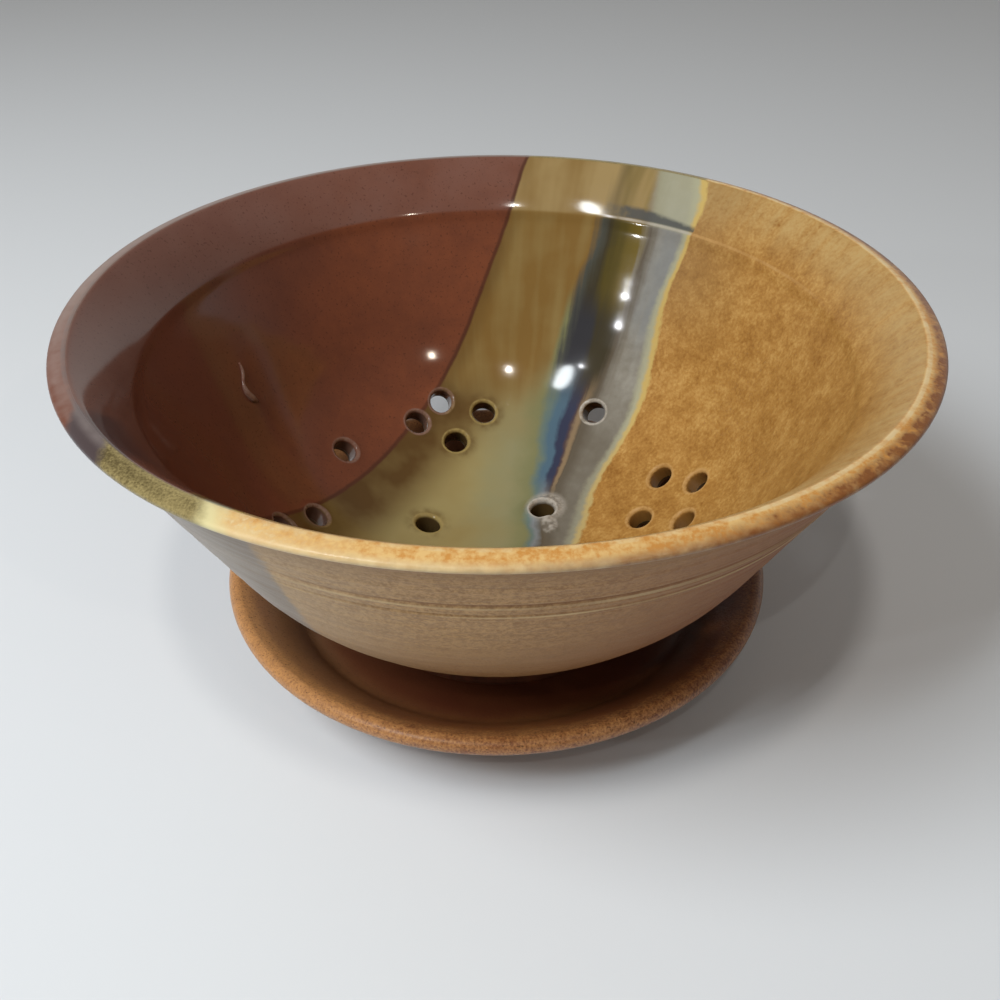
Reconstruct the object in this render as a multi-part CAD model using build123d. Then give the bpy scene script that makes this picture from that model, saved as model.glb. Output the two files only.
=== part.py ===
from build123d import *
import os
from math import asin, atan2, cos, degrees, hypot, radians, sin, sqrt, tan

# A berry bowl: a thrown stoneware colander that stands by its foot ring in a drip saucer.
# Sizes are in millimetres and angles in degrees. The origin is the centre of the saucer's
# base, on the table, and +Z is up. A profile is drawn as (radius, height) and turned.

# Bowl
RIM_RADIUS = 100.0          # axis to the outermost edge of the lip
BOWL_HEIGHT = 89.7          # underside of the foot to the crest of the lip
WALL = 6.0                  # thickness of the wall and of the belly below it
WALL_LEAN = 27.9            # lean of the wall from upright
BELLY_RADIUS = 64.0         # inside radius of the curve from the wall to the floor
FLOOR = 6.0                 # thickness of the floor at its middle

# Lip of the bowl
LIP_WIDTH = 4.2             # from the crest, at its inside, out to its outermost edge
LIP_FALL = 1.7              # from the crest down to the middle of the outer edge
LIP_EDGE = 0.9              # radius of the outer edge
LIP_OVERHANG = 2.2          # how far the outer edge stands out past the line of the wall
LIP_DEPTH = 2.4             # middle of the outer edge down to where the lip leaves the wall
LIP_EASE = 1.2              # rounding under the lip
CREST_EASE = 0.5            # rounding of the crest
BAND_DEPTH = 11.0           # middle of the outer edge down to the ridge inside
BAND_HOLLOW = 0.7           # hollow of the flared band between the lip and the ridge
RIDGE = 0.6                 # how far the ridge stands in from the wall
RIDGE_FALL = 3.0            # height over which the ridge runs out into the wall
RIDGE_EASE = 1.2            # rounding of the ridge

# Grooves turned into the outside of the wall
GROOVE_DROPS = (17.8, 22.2)     # below the middle of the lip's outer edge
GROOVE_RADIUS = 0.9             # radius of the tool's tip
GROOVE_DEPTH = 0.35

# Foot ring of the bowl
FOOT_RADIUS = 39.0          # outside of the ring, where it stands
FOOT_DRAFT = 1.5            # how much narrower the ring is where it meets the belly
FOOT_WIDTH = 7.0            # width of the face that it stands on
FOOT_RECESS = 5.0           # height of the hollow inside the ring
FOOT_EASE = 0.8             # rounding of the ring's edges
FOOT_COVE = 2.0             # rounding where the ring meets the belly

# Drain holes. Distances between holes are measured on the inside face.
HOLE = 6.6                  # bore
HOLE_EASE = 0.7             # rounding of a hole's edges
HOLE_FOOT_GAP = 2.5         # from the foot ring to the lowest holes
CLUSTER_HALF_WIDTH = 10.4   # from the middle of a cluster to a side hole
CLUSTER_AZIMUTHS = (10.5, 106.0, 189.7, 280.0)      # spaced by eye, as they were cut
CLUSTER_HEIGHTS = (18.4, 13.6, 18.4, 16.0)          # from a cluster's low hole up to its top hole
CLUSTER_SIDE_DROPS = (7.2, 4.9, 9.0, 6.0)           # from its top hole down to the two side holes
CLUSTER_TOP_TURNS = (0.0, 1.8, 0.0, 0.0)            # how far round from a cluster's middle its top hole is
SINGLE_AZIMUTHS = (58.3, 145.9, 234.5, 325.0)
SINGLE_DROPS = (0.4, 3.8, 1.6, 2.4)                 # below the top holes of the clusters
FLOOR_HOLE_AZIMUTHS = (55.0, 147.5, 236.0, 326.0)
FLOOR_HOLE_RADIUS = 23.0    # axis to a floor hole

# Saucer
WELL_MARGIN = 13.5          # from the bowl's foot to the bend at the edge of the well
WELL_EASE = 5.0             # how far the rounding of that bend reaches to each side
SAUCER_FLARE = 19.0         # from that bend out to the edge of the saucer
SAUCER_DEPTH = 14.6         # from the well up to the top of the edge
SAUCER_SLOPE = 25.0         # slope of the flared wall at its edge, where it has turned outward
SAUCER_WALL = 4.5           # thickness of the flared wall, rounded over at its edge
SAUCER_FLOOR = 6.0          # thickness under the well
SAUCER_RECESS = 2.0         # height of the foot ring under the saucer
SAUCER_FOOT_WIDTH = 6.0     # width of that foot ring
SAUCER_FOOT_INSET = 4.9     # from the start of the flare in to the foot ring
SAUCER_FOOT_EASE = 0.8      # rounding of the foot ring's edges
FLARE_EASE = 4.0            # rounding under the saucer where the flare starts

THROUGH = 2.0               # how far a hole's cutter runs past each face

# Heights, from the table up
WELL_Z = SAUCER_RECESS + SAUCER_FLOOR
UNDERSIDE_Z = WELL_Z + FOOT_RECESS
FLOOR_Z = UNDERSIDE_Z + FLOOR
LIP_Z = WELL_Z + BOWL_HEIGHT - LIP_FALL

# The belly turns about a circle of centres, so that the wall runs into it without a bend
LEAN = radians(WALL_LEAN)
WALL_TOP_RADIUS = RIM_RADIUS - LIP_OVERHANG
OUTER_BELLY = BELLY_RADIUS + WALL
BELLY_Z = FLOOR_Z + BELLY_RADIUS
BELLY_R = WALL_TOP_RADIUS - (OUTER_BELLY + (LIP_Z - BELLY_Z) * sin(LEAN)) / cos(LEAN)
FOOT_TOP_RADIUS = FOOT_RADIUS - FOOT_DRAFT
FOOT_ANGLE = asin((FOOT_TOP_RADIUS - BELLY_R) / OUTER_BELLY)


def outer_wall_radius(height):
    """Radius of the outside of the leaning wall at a height."""
    return WALL_TOP_RADIUS - (LIP_Z - height) * tan(LEAN)


def inner_wall_radius(height):
    """Radius of the inside of the leaning wall at a height."""
    return outer_wall_radius(height) - WALL / cos(LEAN)


def belly_point(radius, angle):
    """Point of the belly's curve, at an angle up from its lowest point."""
    return Vector(BELLY_R + radius * sin(angle), BELLY_Z - radius * cos(angle))


def eased(profile, points, radius):
    """Round the corners of a profile that lie at the given points."""
    corners = [profile.vertices().sort_by_distance((p.X, p.Y, 0))[0] for p in points]
    return fillet(corners, radius)


def turned(profile):
    """Solid that a profile sweeps about the upright axis."""
    return revolve(Plane.XZ * profile, Axis.Z)


def touch(point, centre, radius, side):
    """Where a line from a point touches a circle, on its left (1) or right (-1) side."""
    reach = centre - point
    apart = hypot(reach.X, reach.Y)
    heading = atan2(reach.Y, reach.X) + side * asin(radius / apart)
    return point + Vector(cos(heading), sin(heading)) * sqrt(apart**2 - radius**2)


def lip_edges(under, crest, ridge):
    """Flared lip from the outside wall over to its crest, and the hollow band down to the ridge."""
    centre = Vector(RIM_RADIUS - LIP_EDGE, LIP_Z)
    low = touch(under, centre, LIP_EDGE, -1)
    high = touch(crest, centre, LIP_EDGE, 1)
    chord = ridge - crest
    sag = Vector(-chord.Y, chord.X).normalized() * BAND_HOLLOW
    return [
        Line(under, low),
        ThreePointArc(low, centre + Vector(LIP_EDGE, 0), high),
        Line(high, crest),
        ThreePointArc(crest, (crest + ridge) / 2 + sag, ridge),
    ]


def bowl_profile():
    """Half section of the bowl, without its holes."""
    ridge_z = LIP_Z - BAND_DEPTH
    ridge = Vector(inner_wall_radius(ridge_z) - RIDGE, ridge_z)
    ridge_foot = Vector(inner_wall_radius(ridge_z - RIDGE_FALL), ridge_z - RIDGE_FALL)
    upright = radians(90) - LEAN
    crest = Vector(RIM_RADIUS - LIP_WIDTH, LIP_Z + LIP_FALL)
    under_lip = Vector(outer_wall_radius(LIP_Z - LIP_DEPTH), LIP_Z - LIP_DEPTH)
    lip = lip_edges(under_lip, crest, ridge)

    foot_out = Vector(FOOT_RADIUS, WELL_Z)
    foot_in = Vector(FOOT_RADIUS - FOOT_WIDTH, WELL_Z)
    foot_roof = Vector(FOOT_RADIUS - FOOT_WIDTH, UNDERSIDE_Z)
    foot_top = belly_point(OUTER_BELLY, FOOT_ANGLE)
    outer_mid = belly_point(OUTER_BELLY, (FOOT_ANGLE + upright) / 2)
    outer_end = belly_point(OUTER_BELLY, upright)
    inner_end = belly_point(BELLY_RADIUS, upright)
    inner_mid = belly_point(BELLY_RADIUS, upright / 2)
    floor_edge = belly_point(BELLY_RADIUS, 0)

    below = Polyline((0, UNDERSIDE_Z), foot_roof, foot_in, foot_out, foot_top)
    outside = [ThreePointArc(foot_top, outer_mid, outer_end), Line(outer_end, under_lip)]
    inside = [
        Polyline(ridge, ridge_foot, inner_end),
        ThreePointArc(inner_end, inner_mid, floor_edge),
        Polyline(floor_edge, (0, FLOOR_Z), (0, UNDERSIDE_Z)),
    ]
    profile = make_face((Curve() + [below, *outside, *lip, *inside]).edges())
    profile = eased(profile, [foot_in, foot_out, foot_roof], FOOT_EASE)
    profile = eased(profile, [foot_top], FOOT_COVE)
    profile = eased(profile, [under_lip], LIP_EASE)
    profile = eased(profile, [crest], CREST_EASE)
    profile = eased(profile, [ridge], RIDGE_EASE)
    return profile - grooves()


def grooves():
    """Round tips that cut the two grooves into the profile's outside wall."""
    stand_off = GROOVE_RADIUS - GROOVE_DEPTH
    tips = []
    for drop in GROOVE_DROPS:
        height = LIP_Z - drop
        place = Pos(outer_wall_radius(height) + stand_off * cos(LEAN), height - stand_off * sin(LEAN))
        tips.append(place * Circle(GROOVE_RADIUS))
    return tips


def belly_hole(azimuth, angle):
    """Cutter for a hole square to the belly, at an angle up from the belly's lowest point."""
    length = WALL + 2 * THROUGH
    bit = Pos(0, 0, -BELLY_RADIUS - WALL / 2) * Cylinder(HOLE / 2, length)
    return Rot(0, 0, azimuth) * Pos(BELLY_R, 0, BELLY_Z) * Rot(0, -degrees(angle), 0) * bit


def floor_hole(azimuth):
    """Cutter for an upright hole through the floor."""
    top = belly_point(BELLY_RADIUS, asin((FLOOR_HOLE_RADIUS - BELLY_R) / BELLY_RADIUS)).Y
    length = top - UNDERSIDE_Z + 2 * THROUGH
    bit = Cylinder(HOLE / 2, length)
    return Rot(0, 0, azimuth) * Pos(FLOOR_HOLE_RADIUS, 0, (top + UNDERSIDE_Z) / 2) * bit


def drain_holes():
    """Cutters for all the drain holes."""
    lowest = FOOT_ANGLE + (HOLE / 2 + HOLE_FOOT_GAP) / OUTER_BELLY
    top = lowest + max(CLUSTER_HEIGHTS) / BELLY_RADIUS
    holes = []
    clusters = zip(CLUSTER_AZIMUTHS, CLUSTER_HEIGHTS, CLUSTER_SIDE_DROPS, CLUSTER_TOP_TURNS)
    for azimuth, height, drop, turn in clusters:
        side = top - drop / BELLY_RADIUS
        spread = degrees(CLUSTER_HALF_WIDTH / belly_point(BELLY_RADIUS, side).X)
        holes.append(belly_hole(azimuth, top - height / BELLY_RADIUS))
        holes.append(belly_hole(azimuth - spread, side))
        holes.append(belly_hole(azimuth + spread, side))
        holes.append(belly_hole(azimuth + turn, top))
    for azimuth, drop in zip(SINGLE_AZIMUTHS, SINGLE_DROPS):
        holes.append(belly_hole(azimuth, top - drop / BELLY_RADIUS))
    holes += [floor_hole(azimuth) for azimuth in FLOOR_HOLE_AZIMUTHS]
    return holes


def colander_bowl():
    """Bowl with its drain holes, their edges softened."""
    bowl = turned(bowl_profile())
    drained = bowl - drain_holes()
    rims = [edge for edge in new_edges(bowl, combined=drained) if edge.is_closed]
    return fillet(rims, HOLE_EASE)


def drip_saucer():
    """Saucer with a flat well for the bowl's foot, a wall that turns outward and a low foot ring."""
    bend = Vector(FOOT_RADIUS + WELL_MARGIN, WELL_Z)
    roll = SAUCER_WALL / 2
    edge = Vector(bend.X + SAUCER_FLARE - roll, WELL_Z + SAUCER_DEPTH - roll)
    slope = radians(SAUCER_SLOPE)
    up = Vector(cos(slope), sin(slope))
    across = Vector(sin(slope), -cos(slope))
    inner_edge = edge - across * roll
    outer_edge = edge + across * roll

    reach = bend - inner_edge
    inner_turn = reach.dot(reach) / (2 * reach.dot(across))
    outer_turn = inner_turn - SAUCER_WALL
    centre = inner_edge + across * inner_turn
    flare_start = Vector(centre.X - sqrt(outer_turn**2 - (SAUCER_RECESS - centre.Y)**2), SAUCER_RECESS)
    foot = flare_start.X - SAUCER_FOOT_INSET
    foot_corners = [Vector(foot, 0), Vector(foot - SAUCER_FOOT_WIDTH, 0)]
    foot_roots = [Vector(foot, SAUCER_RECESS), Vector(foot - SAUCER_FOOT_WIDTH, SAUCER_RECESS)]

    last, first, under = (atan2(p.Y - centre.Y, p.X - centre.X) for p in (inner_edge, bend, flare_start))
    inner_mid = centre + Vector(inner_turn, 0).rotate(Axis.Z, degrees((first + last) / 2))
    outer_mid = centre + Vector(outer_turn, 0).rotate(Axis.Z, degrees((under + last) / 2))
    outline = [
        Line((0, WELL_Z), bend),
        ThreePointArc(bend, inner_mid, inner_edge),
        ThreePointArc(inner_edge, edge + up * roll, outer_edge),
        ThreePointArc(outer_edge, outer_mid, flare_start),
        Polyline(flare_start, foot_roots[0], *foot_corners, foot_roots[1]),
        Polyline(foot_roots[1], (0, SAUCER_RECESS), (0, WELL_Z)),
    ]
    profile = make_face((Curve() + outline).edges())
    profile = eased(profile, [bend], WELL_EASE / tan(first / 2 - radians(45)))
    profile = eased(profile, [flare_start], FLARE_EASE)
    profile = eased(profile, foot_corners + foot_roots, SAUCER_FOOT_EASE)
    return turned(profile)


os.makedirs("parts", exist_ok=True)
export_step(drip_saucer(), "parts/drip_saucer.step")
export_step(colander_bowl(), "parts/colander_bowl.step")
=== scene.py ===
import math

import bmesh
import bpy
import numpy as np
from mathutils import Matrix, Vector
from mathutils.geometry import delaunay_2d_cdt


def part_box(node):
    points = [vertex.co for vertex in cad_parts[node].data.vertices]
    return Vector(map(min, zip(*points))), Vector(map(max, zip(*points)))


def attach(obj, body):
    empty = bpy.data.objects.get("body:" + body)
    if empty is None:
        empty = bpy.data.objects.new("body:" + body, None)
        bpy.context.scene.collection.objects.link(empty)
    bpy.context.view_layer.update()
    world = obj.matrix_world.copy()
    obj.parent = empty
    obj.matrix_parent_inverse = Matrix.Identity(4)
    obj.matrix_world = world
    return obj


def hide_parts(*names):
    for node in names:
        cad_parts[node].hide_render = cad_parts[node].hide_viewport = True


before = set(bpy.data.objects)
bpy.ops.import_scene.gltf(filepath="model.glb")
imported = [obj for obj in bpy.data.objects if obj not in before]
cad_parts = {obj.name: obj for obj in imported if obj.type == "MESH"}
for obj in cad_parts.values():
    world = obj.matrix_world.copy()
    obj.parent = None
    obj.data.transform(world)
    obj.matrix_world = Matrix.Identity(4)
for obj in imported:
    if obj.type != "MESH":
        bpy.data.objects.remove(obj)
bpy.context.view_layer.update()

# A thrown and glazed berry bowl on its drip saucer. Shapes are worked out in millimetres and
# written in metres, in the solids' frame: +Z up, +Y away from the camera. A section is drawn
# as (radius, height) and turned about the upright axis.
MM = 0.001
bowl_low, bowl_high = (np.array(corner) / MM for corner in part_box("colander_bowl"))
saucer_high = np.array(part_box("drip_saucer")[1]) / MM

# Bowl, as in the solids
RIM_RADIUS = bowl_high[0]
FOOT_Z = bowl_low[2]
BOWL_HEIGHT = 89.7
LIP_WIDTH = 4.2
LIP_FALL = 1.7
LIP_EDGE = 0.9
LIP_OVERHANG = 2.2
LIP_DEPTH = 2.4
LIP_CROWN = 0.15  # how far the top of the lip bulges
BAND_DEPTH = 11.0
BAND_HOLLOW = 0.7
RIDGE = 0.6
RIDGE_FALL = 3.0
WALL = 6.0
LEAN = math.radians(27.9)
BELLY_RADIUS = 64.0
FLOOR = 6.0
GROOVE_DROPS = (17.8, 22.2)
GROOVE_DEPTHS = (0.5, 0.3)
GROOVE_WIDTHS = (0.75, 0.45)
GROOVE_STAIN_AND_SHADE = (0.5, 0.0)  # how strongly dark glaze and painted shade lie in each groove
GROOVE_MARGIN = 2.6  # stretch of wall that is made finely to each side of the grooves
GROOVE_BURR = 0.3  # share of its depth that the clay stands up below a groove
FOOT_RADIUS = 39.0
FOOT_DRAFT = 1.5
FOOT_WIDTH = 7.0
FOOT_RECESS = 5.0
FOOT_EASE = 0.8
FOOT_COVE = 2.0
COVE_REACH = 1.55  # how far the rounding above the foot runs up the belly
FOOT_RUN_OUT = 1.5  # how far its section runs on along the underside

# Drain holes
HOLE = 6.6
HOLE_EASE_IN = 0.8
HOLE_EASE_OUT = 0.6
HOLE_FOOT_GAP = 2.5
HOLE_OVAL = 0.035  # how far from round
OVAL_TURN, FLOOR_OVAL_TURN = 2.4, 1.7  # from each hole's oval to the next one's
CLUSTER_HALF_WIDTH = 10.4
CLUSTER_AZIMUTHS = (10.5, 106.0, 189.7, 280.0)
CLUSTER_HEIGHTS = (18.4, 13.6, 18.4, 16.0)
CLUSTER_SIDE_DROPS = (7.2, 4.9, 9.0, 6.0)
CLUSTER_TOP_TURNS = (0.0, 1.8, 0.0, 0.0)
SINGLE_AZIMUTHS = (58.3, 145.9, 234.5, 325.0)
SINGLE_DROPS = (0.4, 3.8, 1.6, 2.4)
FLOOR_HOLE_AZIMUTHS = (55.0, 147.5, 236.0, 326.0)
FLOOR_HOLE_RADIUS = 23.0

# Shape that the hand and the fire gave the bowl. Azimuths are in degrees from +X.
RIM_OUT = ((-165, -1.5), (-130, 1.4), (-90, 0.0), (-45, 0.3), (-25, 0.0), (-7, -1.2), (45, -1.1),
           (100, -1.5), (140, -1.8), (175, -2.3))
RIM_UP = ((-140, 0.1), (-90, 0.0), (-45, -0.2), (0, -0.1), (60, -0.8), (110, -1.1), (180, 0.0))
LIP_OUT = ((-180, 0.0), (-130, 0.2), (-90, 0.0), (-45, 0.6), (-20, 0.5), (10, 0.0))  # of its edge alone
SETTLE_ROUNDS = 256  # smoothing between those azimuths
HOLLOW_AZIMUTH, HOLLOW_Z = 59.5, 57.5  # middle of a shallow hollow that a finger left inside
HOLLOW_DEPTH, HOLLOW_HALF_HEIGHT, HOLLOW_HALF_TURN = 0.35, 7.0, 20.0
EVEN_Z = 30.0  # height under which the bowl is round and level
MARKS_RISE, MARKS_FALL = 12.0, 4.0  # heights over which marks fade at the floor and at the lip
BORE_FADE = 1.5  # depth in a hole by which they are gone
LIP_OUT_RISE, LIP_OUT_FALL = (0.5, 3.0), (14.0, 6.0)  # stretches of section where the lip's own shape fades
TURNING = ((0.006, 1.07, 0.8, 0.0), (0.008, 0.61, 1.1, -0.8708))  # height, pitch, waver and start
DENTS = ((0.1, 3, 0.06, 0.0), (0.07, 5, -0.11, 1.3))  # depth, count round the bowl, lean and start
THROWING = ((0.05, 2, 0.4), (0.045, 3, 1.9), (0.03, 5, 0.2), (0.022, 7, 2.6))  # height, count and start
THROW_PITCH = 9.0  # rise of the throwing lines in a turn
RIM_BEAD = 0.22  # glaze that stands up round each hole
BEAD_REACH = 0.8
COLLAR = 0.7  # glaze gathered round one floor hole, and run on from it
COLLAR_REACH = 1.1
RUN_HIGH = 0.6
RUN_WIDTH, RUN_CORE, RUN_LENGTH = 2.2, 0.2, 3.08
RUN_BEADS, RUN_WAVES, RUN_TURNS = 0.35, (3.1, 2.3), (0.0, 0.6)  # how lumpy it is, and where
RUN_START = (0.9, -4.2)  # from the middle of that hole
RUN_END = (2.6, -8.4)
RUN_TOP = 30.0  # height under which the run is looked for
COLLAR_SHIFT = 0.9  # of the pale glaze to the back and right of that hole
RUN_STEP = 0.5  # spacing of the mesh there
RUN_PATCH = HOLE * 1.6  # radius that has it

# A crooked bead of glaze on the inside wall, as azimuth, height and half width down its length
BEAD_PATH = ((160.1, 64.7, 0.3), (160.5, 62.2, 0.55), (162.5, 60.2, 0.45),
             (163.0, 58.0, 0.95), (162.3, 55.7, 1.1), (161.1, 54.4, 0.4))
BEAD_ROUNDS = 4  # smoothing of its path
BEAD_STEPS = 25  # rings along it
BEAD_POINTS = 12  # points round each ring
BEAD_BORE = 0.3  # paint it pale like the glaze at the rim of a hole: thin glaze, and partly a painted highlight

# Saucer, as in the solids
SAUCER_EDGE = saucer_high[0]
SAUCER_TOP = saucer_high[2]
SAUCER_BEND = FOOT_RADIUS + 13.5
SAUCER_SLOPE = math.radians(25)
SAUCER_WALL = 4.5
SAUCER_RECESS = 2.0
SAUCER_FOOT_INSET = 4.9
SAUCER_FOOT_WIDTH = 6.0
SAUCER_FOOT_EASE = 0.8
WELL_EASE = 5.0
FLARE_EASE = 4.0
FLARE_RUN = 6.0  # length of wall that the rounding under the flare is fitted to
WELL_RUN_OUT, SAUCER_RUN_OUT = 4.0, 2.0  # how far its section runs on along the well and the base

# Fineness of the meshes
AROUND = 256  # points round each turned ring
HOLE_POINTS = 36  # points round each hole
PATCH_STEP = 1.45  # spacing of the points between the holes
HOLE_GUARDS = (0.45, 1.0)  # rings of points kept round each hole
GUARD_CLEAR = 1.45  # from a hole's outline to the points outside its guards
EDGE_CLEAR = 0.3  # from a patch's edge to the points in it
EASE_STEPS = 4  # rings over the rounded edge of a hole
BORE_STEPS = 3  # rings down a hole
FINE, MIDDLE, COARSE = 0.36, 0.7, 1.25  # steps along a section
GROOVE_STEP = 0.24  # and over its grooves
WALL_ROUNDS = 3  # smoothing of the corners of the wall's section
DROP_ROUNDS = 4  # to find where a hole meets a round face
SAME_POINT = 1e-3  # points of a section that are nearer are one
NO_HOLE = 9.0  # distance from a hole past which it no longer matters

LIP_Z = FOOT_Z + BOWL_HEIGHT - LIP_FALL
WALL_TOP_RADIUS = RIM_RADIUS - LIP_OVERHANG
OUTER_BELLY = BELLY_RADIUS + WALL
UNDERSIDE_Z = FOOT_Z + FOOT_RECESS
FLOOR_Z = UNDERSIDE_Z + FLOOR
BELLY_Z = FLOOR_Z + BELLY_RADIUS
BELLY_R = WALL_TOP_RADIUS - (OUTER_BELLY + (LIP_Z - BELLY_Z) * math.sin(LEAN)) / math.cos(LEAN)
FULL_TURN, QUARTER = 2 * math.pi, math.pi / 2
UPRIGHT = QUARTER - LEAN
DISH_EDGE = math.radians(54)
FOOT_TOP_RADIUS = FOOT_RADIUS - FOOT_DRAFT
FOOT_ANGLE = math.asin((FOOT_TOP_RADIUS - BELLY_R) / OUTER_BELLY)
TURN = np.arange(AROUND) * FULL_TURN / AROUND
LOOP = np.arange(HOLE_POINTS) * FULL_TURN / HOLE_POINTS


def unit(v):
    return v / np.linalg.norm(v)


def turned(r, z, theta):
    """Points at radius r and height z, turned to theta."""
    r, z, theta = np.broadcast_arrays(np.asarray(r, float), z, theta)
    return np.stack([r * np.cos(theta), r * np.sin(theta), z], -1)


def polar(r, theta):
    """Flat points at radius r, turned to theta."""
    return np.stack([r * np.cos(theta), r * np.sin(theta)], -1)


def unturned(points):
    """Radius and angle of points about the upright axis."""
    return np.hypot(points[:, 0], points[:, 1]), np.arctan2(points[:, 1], points[:, 0])


def heading(v):
    """Angle of a flat vector."""
    return math.atan2(v[1], v[0])


def smooth(low, high, value):
    """0 below low, 1 above high and an easy rise between."""
    t = np.clip((value - low) / (high - low), 0, 1)
    return t * t * (3 - 2 * t)


def arc(centre, radius, start, end, step):
    """Points of an arc in a section, with angles turned from outward, ends included."""
    count = max(3, math.ceil(abs(end - start) * radius / step) + 1)
    return centre + polar(radius, np.linspace(start, end, count))


def line(a, b, step):
    """Points of a straight run in a section, ends included."""
    a, b = np.asarray(a, float), np.asarray(b, float)
    count = max(2, math.ceil(np.linalg.norm(b - a) / step) + 1)
    return a + (b - a) * np.linspace(0, 1, count)[:, None]


def bowed(a, b, sag, step):
    """Points of a shallow curve from a to b that bows to its left by sag."""
    run = line(a, b, step)
    t = np.linspace(-1, 1, len(run))[:, None]
    left = unit(np.array([a[1] - b[1], b[0] - a[0]]))
    return run + left * sag * (1 - t * t)


def joined(*runs):
    """One section from several runs, with no point twice."""
    points = np.concatenate(runs)
    apart = np.linalg.norm(np.diff(points, axis=0), axis=1) > SAME_POINT
    return points[np.concatenate([[True], apart])]


def relaxed(points, rounds):
    """A section with its corners eased over a few points. Its ends stay."""
    points = points.copy()
    for _ in range(rounds):
        points[1:-1] += 0.25 * (points[:-2] + points[2:] - 2 * points[1:-1])
    return points


def rounded(corners, radii, step):
    """A section of straight runs with rounded corners. The first and last corners are its ends."""
    corners = [np.asarray(corner, float) for corner in corners]
    runs = []
    last = corners[0]
    for corner, after, radius in zip(corners[1:], corners[2:], radii):
        back, ahead = unit(last - corner), unit(after - corner)
        half = math.acos(float(back @ ahead)) / 2
        middle = corner + unit(back + ahead) * radius / math.sin(half)
        start, end = corner + back * radius / math.tan(half), corner + ahead * radius / math.tan(half)
        first = heading(start - middle)
        sweep = (heading(end - middle) - first + math.pi) % FULL_TURN - math.pi
        bend = arc(middle, radius, first, first + sweep, min(step, radius * 0.5))
        runs += [line(last, bend[0], step), bend]
        last = bend[-1]
    return joined(*runs, line(last, corners[-1], step))


def along(section):
    """Distance along a section from its highest point to each point."""
    run = np.concatenate([[0], np.cumsum(np.linalg.norm(np.diff(section, axis=0), axis=1))])
    return run - run[np.argmax(section[:, 1])]


def outer_wall_radius(z):
    return WALL_TOP_RADIUS - (LIP_Z - z) * math.tan(LEAN)


def inner_wall_radius(z):
    return outer_wall_radius(z) - WALL / math.cos(LEAN)


def belly_section(radius, angle):
    """Point of the belly's curve, at an angle up from its lowest point."""
    return np.array([BELLY_R + radius * math.sin(angle), BELLY_Z - radius * math.cos(angle)])


class Belly:
    """The round inside or outside of the bowl, laid flat as rings about its lowest point."""

    def __init__(self, radius):
        self.radius = radius

    def flat_radius(self, angle):
        return BELLY_R + self.radius * angle

    def lifted(self, flat):
        rho, theta = unturned(flat)
        angle = np.maximum(rho - BELLY_R, 0) / self.radius
        r = np.minimum(rho, BELLY_R) + self.radius * np.sin(angle)
        return turned(r, BELLY_Z - self.radius * np.cos(angle), theta)

    def flattened(self, points):
        r, theta = unturned(points)
        return polar(self.flat_radius(np.arctan2(r - BELLY_R, BELLY_Z - points[:, 2])), theta)

    def drop(self, points, axis):
        """How far along axis each point is from the face."""
        total = np.zeros(len(points))
        for _ in range(DROP_ROUNDS):
            here = points + axis * total[:, None]
            r, theta = unturned(here)
            out, up = r - BELLY_R, here[:, 2] - BELLY_Z
            away = np.hypot(out, up)
            total += (self.radius - away) * away / (turned(out, up, theta) @ axis)
        return total


class Plate:
    """A level face at a height."""

    def __init__(self, z):
        self.z = z

    def lifted(self, flat):
        return np.stack([flat[:, 0], flat[:, 1], np.full(len(flat), self.z)], -1)

    def flattened(self, points):
        return points[:, :2].copy()

    def drop(self, points, axis):
        return (self.z - points[:, 2]) / axis[2]


def outside_by(loop, points):
    """How far flat points lie outside a hole's outline, along rays from its middle."""
    edge, edge_turn = unturned(loop - loop.mean(0))
    away, turn = unturned(points - loop.mean(0))
    return away - np.interp(turn, edge_turn, edge, period=FULL_TURN)


def nearest_gap(loops, points):
    """Distance from flat points to the nearest hole."""
    gaps = [outside_by(loop, points) for loop in loops]
    return np.min(gaps, axis=0) if gaps else np.full(len(points), NO_HOLE)


def grown(loop, gap):
    """A hole's outline moved out by a gap. The nearest is also turned by half a point."""
    edge = loop - loop.mean(0)
    middle = (edge + np.roll(edge, -1, axis=0)) / 2 if gap == HOLE_GUARDS[0] else edge
    return loop.mean(0) + middle * (1 + gap / np.linalg.norm(middle, axis=1))[:, None]


def ring_points(low, high, step=PATCH_STEP):
    """Flat points on even rings between two radii."""
    count = max(1, round((high - low) / step))
    rings = []
    for k, rho in enumerate(np.linspace(high, low, count, endpoint=False)[1:]):
        n = max(5, round(FULL_TURN * rho / step))
        rings.append(polar(rho, (np.arange(n) + 0.5 * (k % 2)) * FULL_TURN / n))
    if low == 0:
        rings.append(np.zeros((1, 2)))
    return np.concatenate(rings)


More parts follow.
